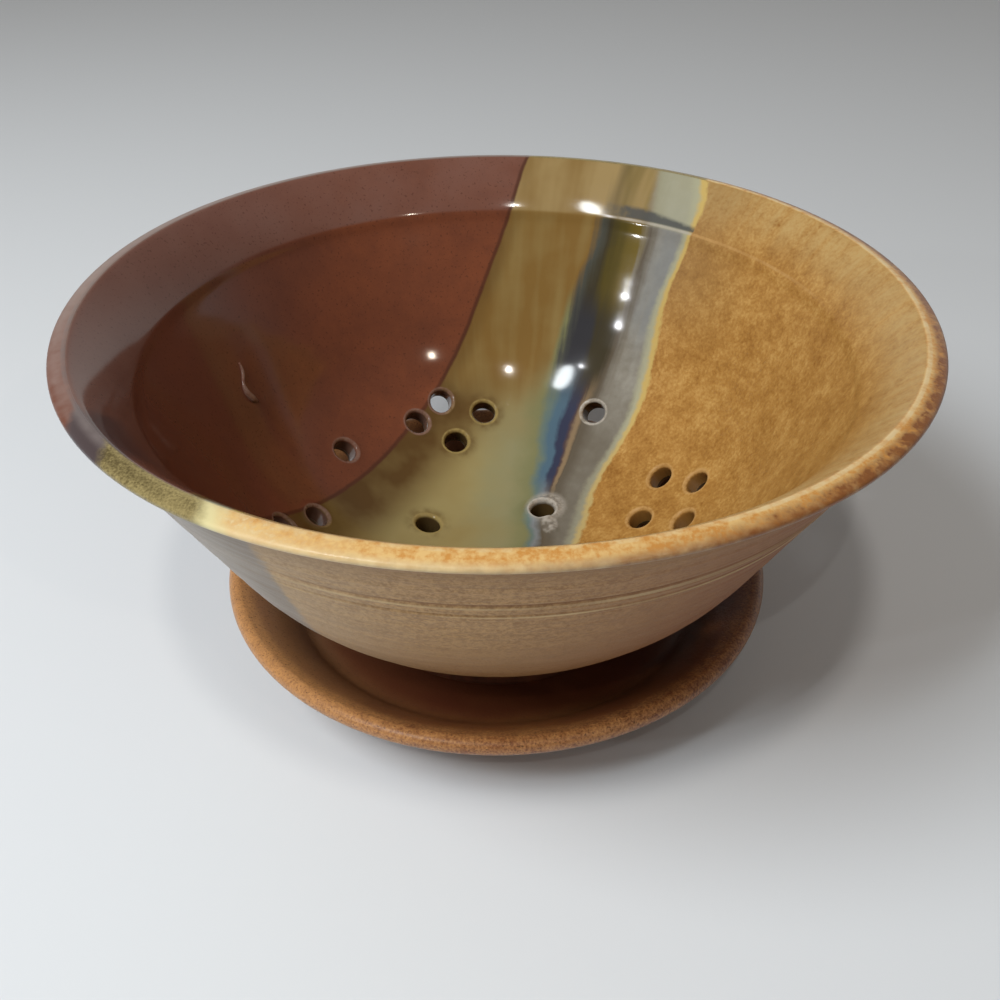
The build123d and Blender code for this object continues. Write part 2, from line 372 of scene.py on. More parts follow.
class Shell:
    """A mesh built ring by ring. Each point also has its place along the section and in a hole."""

    def __init__(self):
        self.points, self.runs, self.bores, self.faces = [], [], [], []
        self.count = 0

    def add(self, points, run, bore=-NO_HOLE):
        self.points.append(points)
        self.runs.append(np.broadcast_to(run, len(points)))
        self.bores.append(np.broadcast_to(bore, len(points)))
        self.count += len(points)
        return np.arange(self.count - len(points), self.count)

    def strips(self, rings):
        """Faces from each closed ring to the next, with as many points each."""
        for ring, other in zip(rings, rings[1:]):
            self.faces += np.stack([ring, np.roll(ring, -1), np.roll(other, -1), other], -1).tolist()

    def sweep(self, section, run, first, last):
        """A section turned all the way round, between end rings that are there already."""
        rings = [self.add(turned(r, z, TURN), at) for (r, z), at in zip(section[1:-1], run[1:-1])]
        self.strips([first, *rings, last])

    def patch(self, face, low, high, loops, rims, run, spot=None):
        """A face between two flat radii, less the holes with these flat loops, whose points are rims.
        A spot is a flat place and radius that is made finely. Returns the rings at its two edges."""
        parts = [polar(rho, TURN) for rho in (high, low) if rho > 0]
        rings = [self.add(face.lifted(part), run) for part in parts]
        parts, indices = [*parts, *loops], [*rings, *rims]
        numbers = np.split(np.arange(sum(map(len, parts))), np.cumsum([len(part) for part in parts])[:-1])
        edges = np.concatenate([np.stack([ring, np.roll(ring, -1)], -1) for ring in numbers])
        fill = ring_points(low, high)
        if spot:
            place, radius = spot
            far = np.linalg.norm(fill - place, axis=1) > radius
            fill = np.concatenate([fill[far], place + ring_points(0, radius, RUN_STEP)])
        fill = fill[nearest_gap(loops, fill) > GUARD_CLEAR]
        fill = np.concatenate([fill, *(grown(loop, gap) for loop in loops for gap in HOLE_GUARDS)])
        rho = np.hypot(*fill.T)
        fill = fill[(rho < high - EDGE_CLEAR) & ((rho > low + EDGE_CLEAR) | (low == 0))]
        gap = np.clip(nearest_gap(loops, fill), 0, NO_HOLE)
        indices = np.concatenate([*indices, self.add(face.lifted(fill), run, -gap)])
        flat = np.concatenate([*parts, fill])
        found = delaunay_2d_cdt([Vector(p) for p in flat], edges.tolist(), [], 0, 1e-6)
        origin = np.array([old[0] for old in found[3]])
        triangles = origin[np.array(found[2])]
        middles = flat[triangles].mean(1)
        keep = np.hypot(*middles.T) > low * math.cos(math.pi / AROUND)
        keep &= nearest_gap(loops, middles) > 0
        self.faces += indices[triangles[keep]].tolist()
        return rings

    def made(self, name, material, shaping=None):
        """The finished object, shaped by hand or left even, in metres, with its points' attributes."""
        points, run, bore = (np.concatenate(part) for part in (self.points, self.runs, self.bores))
        points = shaping(points, run, bore) if shaping else points
        mesh = bpy.data.meshes.new(name)
        mesh.from_pydata((points * MM).tolist(), [], self.faces)
        for label, values in (("run", run), ("bore", bore)):
            layer = mesh.attributes.new(label, "FLOAT", "POINT")
            layer.data.foreach_set("value", values.astype(np.float32))
        tidy = bmesh.new()
        tidy.from_mesh(mesh)
        bmesh.ops.recalc_face_normals(tidy, faces=tidy.faces)
        tidy.to_mesh(mesh)
        tidy.free()
        mesh.shade_smooth()
        mesh.materials.append(material)
        return placed(name, mesh)


def placed(name, data):
    """A new object in the scene."""
    obj = bpy.data.objects.new(name, data)
    bpy.context.scene.collection.objects.link(obj)
    return obj


class Hole:
    """A drain hole from a place on the inside, along an axis that slants out from straight down."""

    def __init__(self, azimuth, angle, slant, turn, outside):
        theta = math.radians(azimuth)
        self.side = turned(1, 0, theta + QUARTER)
        self.axis = turned(math.sin(slant), -math.cos(slant), theta)
        self.rise = np.cross(self.axis, self.side)
        self.middle = turned(*belly_section(BELLY_RADIUS, angle), theta)
        self.turn, self.outside = turn, outside

    def ring(self, radius):
        """Points round the axis at a radius, a little oval, level with the hole's middle."""
        size = radius + HOLE / 2 * HOLE_OVAL * np.cos(2 * (LOOP + self.turn))
        round_it = np.cos(LOOP)[:, None] * self.side + np.sin(LOOP)[:, None] * self.rise
        return self.middle + size[:, None] * round_it

    def edge_rings(self, face, ease, inward):
        """Rings over the rounded edge, from the outline on a face to the bore, with their depths."""
        level = face.drop(self.ring(HOLE / 2 + ease), self.axis)
        rings = []
        for t in np.linspace(0, QUARTER, EASE_STEPS + 1):
            ring = self.ring(HOLE / 2 + ease * (1 - math.sin(t)))
            depth = level + inward * ease * (1 - math.cos(t))
            rings.append((ring + self.axis * depth[:, None], ease * t))
        return rings

    def bored(self, shell):
        """Add the hole's wall to the shell and return its two outlines."""
        upper = self.edge_rings(INSIDE, HOLE_EASE_IN, 1)
        lower = self.edge_rings(self.outside, HOLE_EASE_OUT, -1)[::-1]
        (top, deep), foot = upper[-1], lower[0][0]
        for t in np.linspace(0, 1, BORE_STEPS + 1)[1:-1]:
            upper.append((top * (1 - t) + foot * t, deep + WALL * min(t, 1 - t)))
        rings = [shell.add(ring, INSIDE_RUN, depth) for ring, depth in upper]
        rings += [shell.add(ring, OUTSIDE_RUN, depth) for ring, depth in lower]
        shell.strips(rings)
        return rings[0], rings[-1]


INSIDE_RUN = -80.0  # places along the section, from the top of the lip, of the two faces
OUTSIDE_RUN = 80.0
INSIDE = Belly(BELLY_RADIUS)
OUTSIDE = Belly(OUTER_BELLY)
UNDERSIDE = Plate(UNDERSIDE_Z)


def drain_holes():
    """The holes through the belly and those through the floor."""
    lowest = FOOT_ANGLE + (HOLE / 2 + HOLE_FOOT_GAP) / OUTER_BELLY
    top = lowest + max(CLUSTER_HEIGHTS) / BELLY_RADIUS
    places = [(azimuth, top - drop / BELLY_RADIUS) for azimuth, drop in zip(SINGLE_AZIMUTHS, SINGLE_DROPS)]
    clusters = zip(CLUSTER_AZIMUTHS, CLUSTER_HEIGHTS, CLUSTER_SIDE_DROPS, CLUSTER_TOP_TURNS)
    for azimuth, height, drop, turn in clusters:
        low, side = top - height / BELLY_RADIUS, top - drop / BELLY_RADIUS
        spread = math.degrees(CLUSTER_HALF_WIDTH / belly_section(BELLY_RADIUS, side)[0])
        places += [(azimuth, low), (azimuth - spread, side), (azimuth + spread, side), (azimuth + turn, top)]
    belly = [Hole(azimuth, angle, angle, OVAL_TURN * k, OUTSIDE) for k, (azimuth, angle) in enumerate(places)]
    angle = math.asin((FLOOR_HOLE_RADIUS - BELLY_R) / BELLY_RADIUS)
    floor = [Hole(azimuth, angle, 0, FLOOR_OVAL_TURN * k, UNDERSIDE)
             for k, azimuth in enumerate(FLOOR_HOLE_AZIMUTHS)]
    return belly, floor


def touch(point, centre, radius, side):
    """Where a line from a point touches a circle, on its left (1) or right (-1) side."""
    reach = centre - point
    apart = np.linalg.norm(reach)
    return point + polar(math.sqrt(apart**2 - radius**2), heading(reach) + side * math.asin(radius / apart))


def lip_section(crest, under):
    """Section of the lip from its crest, over the rounded edge and back under to the wall."""
    centre = np.array([RIM_RADIUS - LIP_EDGE, LIP_Z])
    high, low = touch(crest, centre, LIP_EDGE, 1), touch(under, centre, LIP_EDGE, -1)
    first, last = heading(high - centre), heading(low - centre)
    return joined(
        bowed(crest, high, LIP_CROWN, FINE),
        arc(centre, LIP_EDGE, first, last, FINE / 2),
        line(low, under, FINE),
    )


def grooved(section):
    """The outside wall's section with its two turned grooves."""
    depth = np.zeros(len(section))
    for drop, deep, width in zip(GROOVE_DROPS, GROOVE_DEPTHS, GROOVE_WIDTHS):
        off = (section[:, 1] - (LIP_Z - drop)) / width
        depth += deep * (np.exp(-off**2) - GROOVE_BURR * np.exp(-(off + 2)**2))
    return section - depth[:, None] * np.array([math.cos(LEAN), -math.sin(LEAN)])


def wall_section():
    """Section from the dish inside, up over the ridge, the band and the lip and down the outside."""
    ridge_z = LIP_Z - BAND_DEPTH
    ridge = np.array([inner_wall_radius(ridge_z) - RIDGE, ridge_z])
    ridge_foot = np.array([inner_wall_radius(ridge_z - RIDGE_FALL), ridge_z - RIDGE_FALL])
    crest = np.array([RIM_RADIUS - LIP_WIDTH, LIP_Z + LIP_FALL])
    under, above, below = (np.array([outer_wall_radius(z), z]) for z in (
        LIP_Z - LIP_DEPTH, LIP_Z - GROOVE_DROPS[0] + GROOVE_MARGIN, LIP_Z - GROOVE_DROPS[1] - GROOVE_MARGIN))
    inner = relaxed(joined(
        arc((BELLY_R, BELLY_Z), BELLY_RADIUS, DISH_EDGE - QUARTER, UPRIGHT - QUARTER, COARSE),
        line(belly_section(BELLY_RADIUS, UPRIGHT), ridge_foot, COARSE),
        line(ridge_foot, ridge, FINE),
        bowed(ridge, crest, BAND_HOLLOW, MIDDLE),
        lip_section(crest, under),
        line(under, above, MIDDLE),
    ), WALL_ROUNDS)
    outer = joined(
        grooved(line(above, below, GROOVE_STEP)),
        line(below, belly_section(OUTER_BELLY, UPRIGHT), MIDDLE),
        arc((BELLY_R, BELLY_Z), OUTER_BELLY, UPRIGHT - QUARTER, DISH_EDGE - QUARTER, COARSE),
    )
    return joined(inner, outer)


def foot_section():
    """Section of the foot ring, from the belly down, under and up to the underside."""
    top = belly_section(OUTER_BELLY, FOOT_ANGLE)
    start = belly_section(OUTER_BELLY, FOOT_ANGLE + COVE_REACH / OUTER_BELLY)
    inner = FOOT_RADIUS - FOOT_WIDTH
    corners = [start, top, (FOOT_RADIUS, FOOT_Z), (inner, FOOT_Z), (inner, UNDERSIDE_Z),
               (inner - FOOT_RUN_OUT, UNDERSIDE_Z)]
    return rounded(corners, [FOOT_COVE] + [FOOT_EASE] * 3, MIDDLE)


def settled(table, theta):
    """A value given at a few azimuths, run smoothly round between them."""
    azimuths, values = (np.array(column) for column in zip(*table))
    ring = np.interp(np.degrees(TURN), azimuths, values, period=360)
    for _ in range(SETTLE_ROUNDS):
        ring = (np.roll(ring, 1) + 2 * ring + np.roll(ring, -1)) / 4
    return np.interp(theta, TURN, ring, period=FULL_TURN)


def bowl_shaping(points, run, bore):
    """The thrown bowl's own unevenness: a rim that isn't quite round, turning marks, and glaze
    that has gathered round the holes."""
    (r, theta), z = unturned(points), points[:, 2]
    face = np.clip(np.arctan2(r - BELLY_R, BELLY_Z - z), 0, UPRIGHT)
    inside = run < 0
    on_face = smooth(BORE_FADE, 0, bore)
    wall = smooth(FLOOR_Z, FLOOR_Z + MARKS_RISE, z) * smooth(LIP_Z, LIP_Z - MARKS_FALL, z)
    swell = np.where(inside, wall * turning_marks(theta, z), -wall * throwing_lines(theta, z))
    swell = swell + np.where(inside, RIM_BEAD * np.exp(-(bore / BEAD_REACH)**2), 0)
    swell = np.where(inside & (z < RUN_TOP), swell + glaze_run(points), swell) * on_face
    lip = smooth(*LIP_OUT_RISE, run) * smooth(*LIP_OUT_FALL, run)
    uneven = smooth(EVEN_Z, LIP_Z, z)
    spread = uneven * settled(RIM_OUT, theta) + lip * settled(LIP_OUT, theta)
    lift = uneven * settled(RIM_UP, theta)
    return turned(r + spread - swell * np.sin(face), z + lift + swell * np.cos(face), theta)


def turning_marks(theta, z):
    """How far the inside stands in: faint rings from turning, and slow dents from the hand."""
    rings = sum(high * np.sin(z * pitch + waver * np.sin(theta + start))
                for high, pitch, waver, start in TURNING)
    dents = sum(deep * np.sin(count * theta + z * lean + start) for deep, count, lean, start in DENTS)
    around = (np.degrees(theta) - HOLLOW_AZIMUTH) / HOLLOW_HALF_TURN
    up = (z - HOLLOW_Z) / HOLLOW_HALF_HEIGHT
    return rings + dents - HOLLOW_DEPTH * np.exp(-around**2 - up**2)


def throwing_lines(theta, z):
    """How far the outside stands out: fine lines in a slow spiral."""
    turn = FULL_TURN * z / THROW_PITCH - theta
    return sum(high * np.sin(count * turn + start) for high, count, start in THROWING)


def glaze_run(points):
    """How high the glaze stands in the collar and the run at one of the floor holes."""
    place = points[:, :2] - polar(FLOOR_HOLE_RADIUS, math.radians(FLOOR_HOLE_AZIMUTHS[0]))
    gap = np.maximum(np.hypot(*place.T) - HOLE / 2 - HOLE_EASE_IN, 0)
    start, end = np.array(RUN_START), np.array(RUN_END)
    t = np.clip((place - start) @ (end - start) / ((end - start) @ (end - start)), 0, 1)
    off = np.linalg.norm(place - start - t[:, None] * (end - start), axis=1)
    beads = 1 + RUN_BEADS * np.sin(place * RUN_WAVES + RUN_TURNS).prod(1)
    return COLLAR * np.exp(-(gap / COLLAR_REACH)**2) + RUN_HIGH * beads * smooth(RUN_WIDTH, RUN_CORE, off)


def colander_bowl(material):
    """The bowl's body: holes, dish, belly, underside, wall and foot in one closed mesh."""
    shell = Shell()
    belly, floor = drain_holes()
    tops, feet = zip(*(hole.bored(shell) for hole in belly + floor))
    belly_feet, floor_feet = feet[:len(belly)], feet[len(belly):]
    points = np.concatenate(shell.points)
    inner, outer, under = ([face.flattened(points[rim]) for rim in rims] for face, rims in (
        (INSIDE, tops), (OUTSIDE, belly_feet), (UNDERSIDE, floor_feet)))

    dish_high, belly_high = INSIDE.flat_radius(DISH_EDGE), OUTSIDE.flat_radius(DISH_EDGE)
    spot = inner[len(belly)].mean(0), RUN_PATCH
    (dish_edge,) = shell.patch(INSIDE, 0, dish_high, inner, tops, INSIDE_RUN, spot)
    foot = foot_section()
    foot_flat = OUTSIDE.flattened(turned(*foot[0], np.zeros(1)))[0, 0]
    belly_edge, foot_edge = shell.patch(OUTSIDE, foot_flat, belly_high, outer, belly_feet, OUTSIDE_RUN)
    (under_edge,) = shell.patch(UNDERSIDE, 0, foot[-1, 0], under, floor_feet, OUTSIDE_RUN)
    section = wall_section()
    shell.sweep(section, along(section), dish_edge, belly_edge)
    shell.sweep(foot, OUTSIDE_RUN + along(foot), foot_edge, under_edge)
    return shell.made("bowl_body", material, bowl_shaping)


def glaze_bead(material):
    """A bead of glaze that ran down the inside wall and froze there, half sunk in it."""
    shell = Shell()
    stops = np.linspace(0, 1, len(BEAD_PATH))
    azimuth, z, size = (np.interp(np.linspace(0, 1, BEAD_STEPS), stops, column) for column in zip(*BEAD_PATH))
    theta = np.radians(azimuth)
    path = relaxed(turned(inner_wall_radius(z), z, theta), BEAD_ROUNDS)
    inward = turned(-math.cos(LEAN), math.sin(LEAN), theta)
    sideways = np.cross(np.gradient(path, axis=0), inward)
    sideways /= np.linalg.norm(sideways, axis=1)[:, None]
    around = (np.arange(BEAD_POINTS) * FULL_TURN / BEAD_POINTS)[:, None]
    rings = [shell.add(middle + half * (np.cos(around) * side + np.sin(around) * rise), INSIDE_RUN, BEAD_BORE)
             for middle, half, side, rise in zip(path, size, sideways, inward)]
    shell.strips(rings)
    shell.faces += [rings[0].tolist(), rings[-1].tolist()]
    return shell.made("glaze_bead", material, bowl_shaping)


def saucer_section():
    """Section of the saucer from the well, up and over its edge and down under to its foot ring."""
    roll = SAUCER_WALL / 2
    bend = np.array([SAUCER_BEND, FOOT_Z])
    edge = np.array([SAUCER_EDGE - roll, SAUCER_TOP - roll])
    across = np.array([math.sin(SAUCER_SLOPE), -math.cos(SAUCER_SLOPE)])
    reach = bend - (edge - across * roll)
    inner_turn = reach @ reach / (2 * reach @ across)
    outer_turn = inner_turn - SAUCER_WALL
    centre = edge + across * (inner_turn - roll)
    first, last = heading(bend - centre), SAUCER_SLOPE + QUARTER

    ease = WELL_EASE / math.tan((first - QUARTER) / 2)
    in_well = centre[0] - math.sqrt((inner_turn + ease)**2 - (FOOT_Z + ease - centre[1])**2)
    rounding = np.array([in_well, FOOT_Z + ease])
    meeting = heading(rounding - centre)
    flare = np.array([centre[0] - math.sqrt(outer_turn**2 - (SAUCER_RECESS - centre[1])**2), SAUCER_RECESS])
    under = heading(flare - centre) - FLARE_RUN / outer_turn
    outside = arc(centre, outer_turn, last, under, MIDDLE)
    foot = flare[0] - SAUCER_FOOT_INSET
    heel = foot - SAUCER_FOOT_WIDTH
    corners = [outside[-1], flare, (foot, SAUCER_RECESS), (foot, 0), (heel, 0), (heel, SAUCER_RECESS),
               (heel - SAUCER_RUN_OUT, SAUCER_RECESS)]
    return joined(
        line((in_well - WELL_RUN_OUT, FOOT_Z), (in_well, FOOT_Z), MIDDLE),
        arc(rounding, ease, -QUARTER, meeting - math.pi, MIDDLE),
        arc(centre, inner_turn, meeting, last, MIDDLE),
        arc(edge, roll, last, last - math.pi, FINE),
        outside,
        rounded(corners, [FLARE_EASE] + [SAUCER_FOOT_EASE] * 4, MIDDLE),
    )


def drip_saucer(material):
    """The saucer's body in one closed mesh."""
    shell = Shell()
    section = saucer_section()
    run = along(section)
    (well_edge,) = shell.patch(Plate(FOOT_Z), 0, section[0, 0], [], [], run[0])
    (under_edge,) = shell.patch(Plate(SAUCER_RECESS), 0, section[-1, 0], [], [], run[-1])
    shell.sweep(section, run, well_edge, under_edge)
    return shell.made("saucer_body", material)


def tint(r, g, b):
    """Linear colour from sRGB values up to 255."""
    shares = [value / 255 for value in (r, g, b)]
    return [s / 12.92 if s <= 0.04045 else ((s + 0.055) / 1.055)**2.4 for s in shares] + [1.0]


MIX_SOCKETS = {"RGBA": (0, 6, 7, 2), "FLOAT": (0, 2, 3, 0)}  # share, two inputs and output of a Mix node
STREAK_RADIUS = 80.0  # radius at which a streak's width is true
CURVE_SPAN = 220.0  # lengths that a curve covers, half of them below 0


def plug(tree, socket, value):
    """Put a field or a plain value into a node's socket."""
    if isinstance(value, Field):
        tree.links.new(value.socket, socket)
    else:
        socket.default_value = value


class Field:
    """A number or colour that varies over a surface: a node's output that can be reckoned with."""

    def __init__(self, tree, kind, inputs=(), output=0, **settings):
        """Makes a node of a kind, with its settings and with what goes into its sockets."""
        self.tree = tree
        self.node = tree.nodes.new("ShaderNode" + kind)
        for name, value in settings.items():
            setattr(self.node, name, value)
        for place, value in inputs:
            plug(tree, self.node.inputs[place], value)
        self.socket = self.node.outputs[output]

    def reckon(self, operation, *others):
        return Field(self.tree, "Math", enumerate((self, *others)), operation=operation)

    def __add__(self, other):
        return self.reckon("ADD", other)

    def __sub__(self, other):
        return self.reckon("SUBTRACT", other)

    def __mul__(self, other):
        return self.reckon("MULTIPLY", other)

    def __truediv__(self, other):
        return self.reckon("DIVIDE", other)

    def rise(self, low, high):
        """0 up to low and 1 from high on, with an easy step between. Low may be the higher."""
        inputs = ("Value", self), ("From Min", low), ("From Max", high)
        return Field(self.tree, "MapRange", inputs, interpolation_type="SMOOTHSTEP")

    def band(self, low, high, soft):
        """1 between low and high, falling away over soft to each side."""
        return self.rise(low - soft, low) * self.rise(high + soft, high)

    def ramp(self, *stops):
        """Colours at a few values from 0 to 1, blended between."""
        ramp = Field(self.tree, "ValToRGB", [("Fac", self)])
        elements = ramp.node.color_ramp.elements
        elements[0].color, elements[1].color = stops[0][1], stops[-1][1]
        for place, colour in stops[1:-1]:
            elements.new(place).color = colour
        return ramp

    def curve(self, points):
        """A length read off a smooth curve, drawn through points given as this length and that one."""
        curve = Field(self.tree, "FloatCurve", [("Value", self / CURVE_SPAN + 0.5)])
        places = [[length / CURVE_SPAN + 0.5 for length in point] for point in points]
        drawn = curve.node.mapping.curves[0].points
        drawn[0].location, drawn[1].location = places[0], places[-1]
        for place in places[1:-1]:
            drawn.new(*place)
        curve.node.mapping.update()
        return (curve - 0.5) * CURVE_SPAN

    def mix(self, first, second, kind="RGBA"):
        """First colour where this is 0, second where it is 1."""
        *places, output = MIX_SOCKETS[kind]
        return Field(self.tree, "Mix", zip(places, (self, first, second)), output, data_type=kind)

    def blend(self, first, second):
        """First number where this is 0, second where it is 1."""
        return self.mix(first, second, "FLOAT")

    def parts(self):
        """X, y and z of a place."""
        return [Field(self.tree, "SeparateXYZ", [(0, self)], k) for k in range(3)]


class Surface:
    """A material, with the fields that its looks are worked out from. Places are in millimetres."""

    def __init__(self, name):
        self.material = bpy.data.materials.new(name)
        self.material.use_nodes = True
        self.tree = self.material.node_tree
        place = Field(self.tree, "TexCoord", output="Object")
        scaled = Field(self.tree, "VectorMath", operation="SCALE", inputs=[(0, place), ("Scale", 1 / MM)])
        self.x, self.y, self.z = scaled.parts()
        self.r = (self.x * self.x + self.y * self.y).reckon("SQRT")
        self.run, self.bore = (
            Field(self.tree, "Attribute", output="Fac", attribute_name=label) for label in ("run", "bore"))

    def pattern(self, x, y, z, detail, roughness=0.55):
        """Noise about 0, from about -0.3 to 0.3, one unit of x, y and z to a blotch."""
        place = Field(self.tree, "CombineXYZ", enumerate((x, y, z)))
        inputs = ("Vector", place), ("Scale", 1.0), ("Detail", detail), ("Roughness", roughness)
        return Field(self.tree, "TexNoise", inputs, "Fac") - 0.5

    def blotches(self, size, detail=2.0, roughness=0.55):
        """Noise with blotches of a size."""
        return self.pattern(self.x / size, self.y / size, self.z / size, detail, roughness)

    def streaks(self, across, down, detail=2.0):
        """Noise drawn out down the bowl's sides."""
        out = self.r.reckon("MAXIMUM", 1.0) * (across / STREAK_RADIUS)
        return self.pattern(self.x / out, self.y / out, self.z / down, detail)

    def lines(self, along, down, detail=2.0):
        """Noise drawn out round the bowl."""
        return self.pattern(self.x / along, self.y / along, self.z / down, detail)

    def dip(self, level, slope_y, slope_z):
        """How far the surface lies to the right of the slanting edge of a dipped glaze."""
        return self.x - (self.y * slope_y + self.z * slope_z + level)

    def finished(self, colour, roughness, relief):
        """Join the fields to the shader. Relief is in millimetres."""
        shader = self.tree.nodes["Principled BSDF"]
        normal = Field(self.tree, "Bump", [("Distance", MM), ("Height", relief)])
        for name, value in (("Base Color", colour), ("Roughness", roughness), ("Normal", normal)):
            plug(self.tree, shader.inputs[name], value)
        return self.material


# Glaze edges. Each dip overlaps the one before. The red one is x = level + y and z slopes, and the
# others are x at a few y, from the front of the bowl to its back.
RED_DIP = (-55.39, 0.6141, 0.1027)
RED_FRONT_BEND = 0.009
RED_BAND_TURN = 0.2  # how far it turns to the left above the ridge
DARK_EDGE = (
    (-110, -51), (-55, -45), (0, 5.2), (18.5, 7.8), (34.7, 10.4), (45.5, 11.5), (53.5, 13.2), (58.8, 16),
    (66.8, 20), (71.7, 23.3), (74, 26.5), (79, 28.9), (110, 33))
GREY_EDGE = (
    (-110, -48), (-55, -42), (0, 12.4), (14.6, 14.9), (25.6, 17.2), (36.4, 21.9), (42.8, 24.7), (48.8, 27.9),
    (53.7, 31.8), (62, 38.2), (66, 41), (69.4, 43.8), (75, 46), (110, 50))
TAN_EDGE = (
    (-110, -44), (-85, -42.4), (-70, -40.6), (-55, -38), (0, 20.4), (11.3, 24.8), (18.7, 26.9), (26.5, 30),
    (35.6, 37.1), (43.1, 43), (50.2, 46.1), (57.9, 49.6), (62, 54.6), (66, 58.4), (76, 60.4), (110, 64))

# Starts of the glazes along the front lip, from its left
LIP_PLUM_X, LIP_MOSS_X, LIP_YELLOW_X, LIP_TAN_X = -81.0, -71.5, -47.5, -44.5

# Places along the section, in millimetres from the crest of the lip
RIDGE_RUN = -16.9
LIP_FACE_END = 3.6
LIP_END = 5.8
WALL_RUN = 9.2

# Roughness of the glazes and of bare clay
GLOSSY, SATIN, LIP_SATIN, DRY, BARE = 0.1, 0.42, 0.28, 0.56, 0.85
SAUCER_SATIN, SAUCER_WELL_SATIN = 0.36, 0.32

# Colours of the bowl's glazes inside
RED, RED_DEEP, RED_LINE = tint(116, 64, 40), tint(98, 54, 36), tint(64, 36, 24)
# The first colour on the next line is a painted reflection: the red greyed on the band as by a sheen.
RED_BAND_PAINTED_SHEEN, RED_PLUM = tint(112, 81, 72), tint(98, 62, 54)
OLIVE, OLIVE_PALE, OLIVE_DEEP = tint(120, 92, 46), tint(148, 134, 88), tint(86, 62, 29)
KHAKI, SAGE, SAGE_PALE = tint(148, 126, 84), tint(116, 116, 80), tint(132, 129, 96)
SLATE, NAVY, BLUE, PLUM = tint(70, 71, 64), tint(50, 54, 74), tint(74, 98, 114), tint(78, 62, 62)
SOOT, SOOT_OLIVE, GOLD_OLIVE = tint(58, 52, 36), tint(76, 66, 28), tint(104, 88, 36)
INK, TEAL, SLIVER = tint(50, 50, 54), tint(94, 110, 104), tint(130, 110, 84)
UMBER, POOL = tint(86, 77, 64), tint(72, 74, 74)
GREY, GREY_PALE, GREY_LOW = tint(124, 119, 108), tint(146, 143, 133), tint(96, 88, 75)
GREY_BLUE, GREY_GREEN, LEMON = tint(116, 120, 122), tint(158, 156, 130), tint(186, 160, 96)
TAN, TAN_PALE, TAN_DEEP = tint(162, 118, 58), tint(188, 147, 84), tint(136, 92, 38)
TAN_BAND, TAN_DULL = tint(176, 146, 94), tint(132, 106, 68)
RIM_RED, RIM_OLIVE = tint(122, 94, 82), tint(146, 126, 76)
RIM_GREY, RIM_TAN = tint(172, 165, 154), tint(180, 140, 86)
# The bores' colours on the next line are painted shade: each glaze darkened down inside the holes.
BORE_RED_PAINTED_SHADE, BORE_OLIVE_PAINTED_SHADE, BORE_TAN_PAINTED_SHADE = tint(92, 68, 58), tint(72, 56, 32), tint(140, 99, 48)

# And on its lip, outside and foot
CREAM, LIP_ORANGE, LIP_PALE = tint(206, 182, 136), tint(188, 133, 66), tint(208, 172, 112)
LIP_BROWN, LIP_RED, LIP_PLUM = tint(124, 76, 38), tint(122, 95, 86), tint(68, 57, 58)
LIP_ASH, LIP_GREY, LIP_YELLOW = tint(108, 98, 96), tint(134, 120, 112), tint(204, 194, 146)
LIP_MOSS, LIP_OLIVE = tint(82, 70, 40), tint(152, 137, 92)
BEIGE, BEIGE_DARK, BEIGE_WARM = tint(184, 144, 92), tint(146, 107, 60), tint(126, 84, 42)
# The first colour on the next line is painted shade for the right side of the outside.
BEIGE_PAINTED_SHADE, BEIGE_PALE = tint(128, 72, 24), tint(182, 158, 126)
LILAC, MAUVE = tint(166, 158, 150), tint(138, 124, 110)
# The second colour on the next line is painted shade for the foot under the belly.
CLAY, FOOT_PAINTED_SHADE = tint(170, 140, 108), tint(64, 38, 26)

# Saucer
RUST, RUST_PALE, RUST_DEEP = tint(146, 96, 54), tint(186, 134, 82), tint(112, 62, 38)
# On the next line the first colour is painted shade for the well and the right side, the second painted light
# for the left side.
RUST_PAINTED_SHADE, RUST_PAINTED_LIGHT, SPECK = tint(76, 35, 22), tint(158, 116, 78), tint(76, 44, 26)


def layered(base, *layers):
    """A colour with others laid over it in turn, each given as how much of it shows and what it is.
    Shares are judged. The patterns in them are about 0, so a plain number in one is its mean."""
    for share, colour in layers:
        base = share.mix(base, colour)
    return base


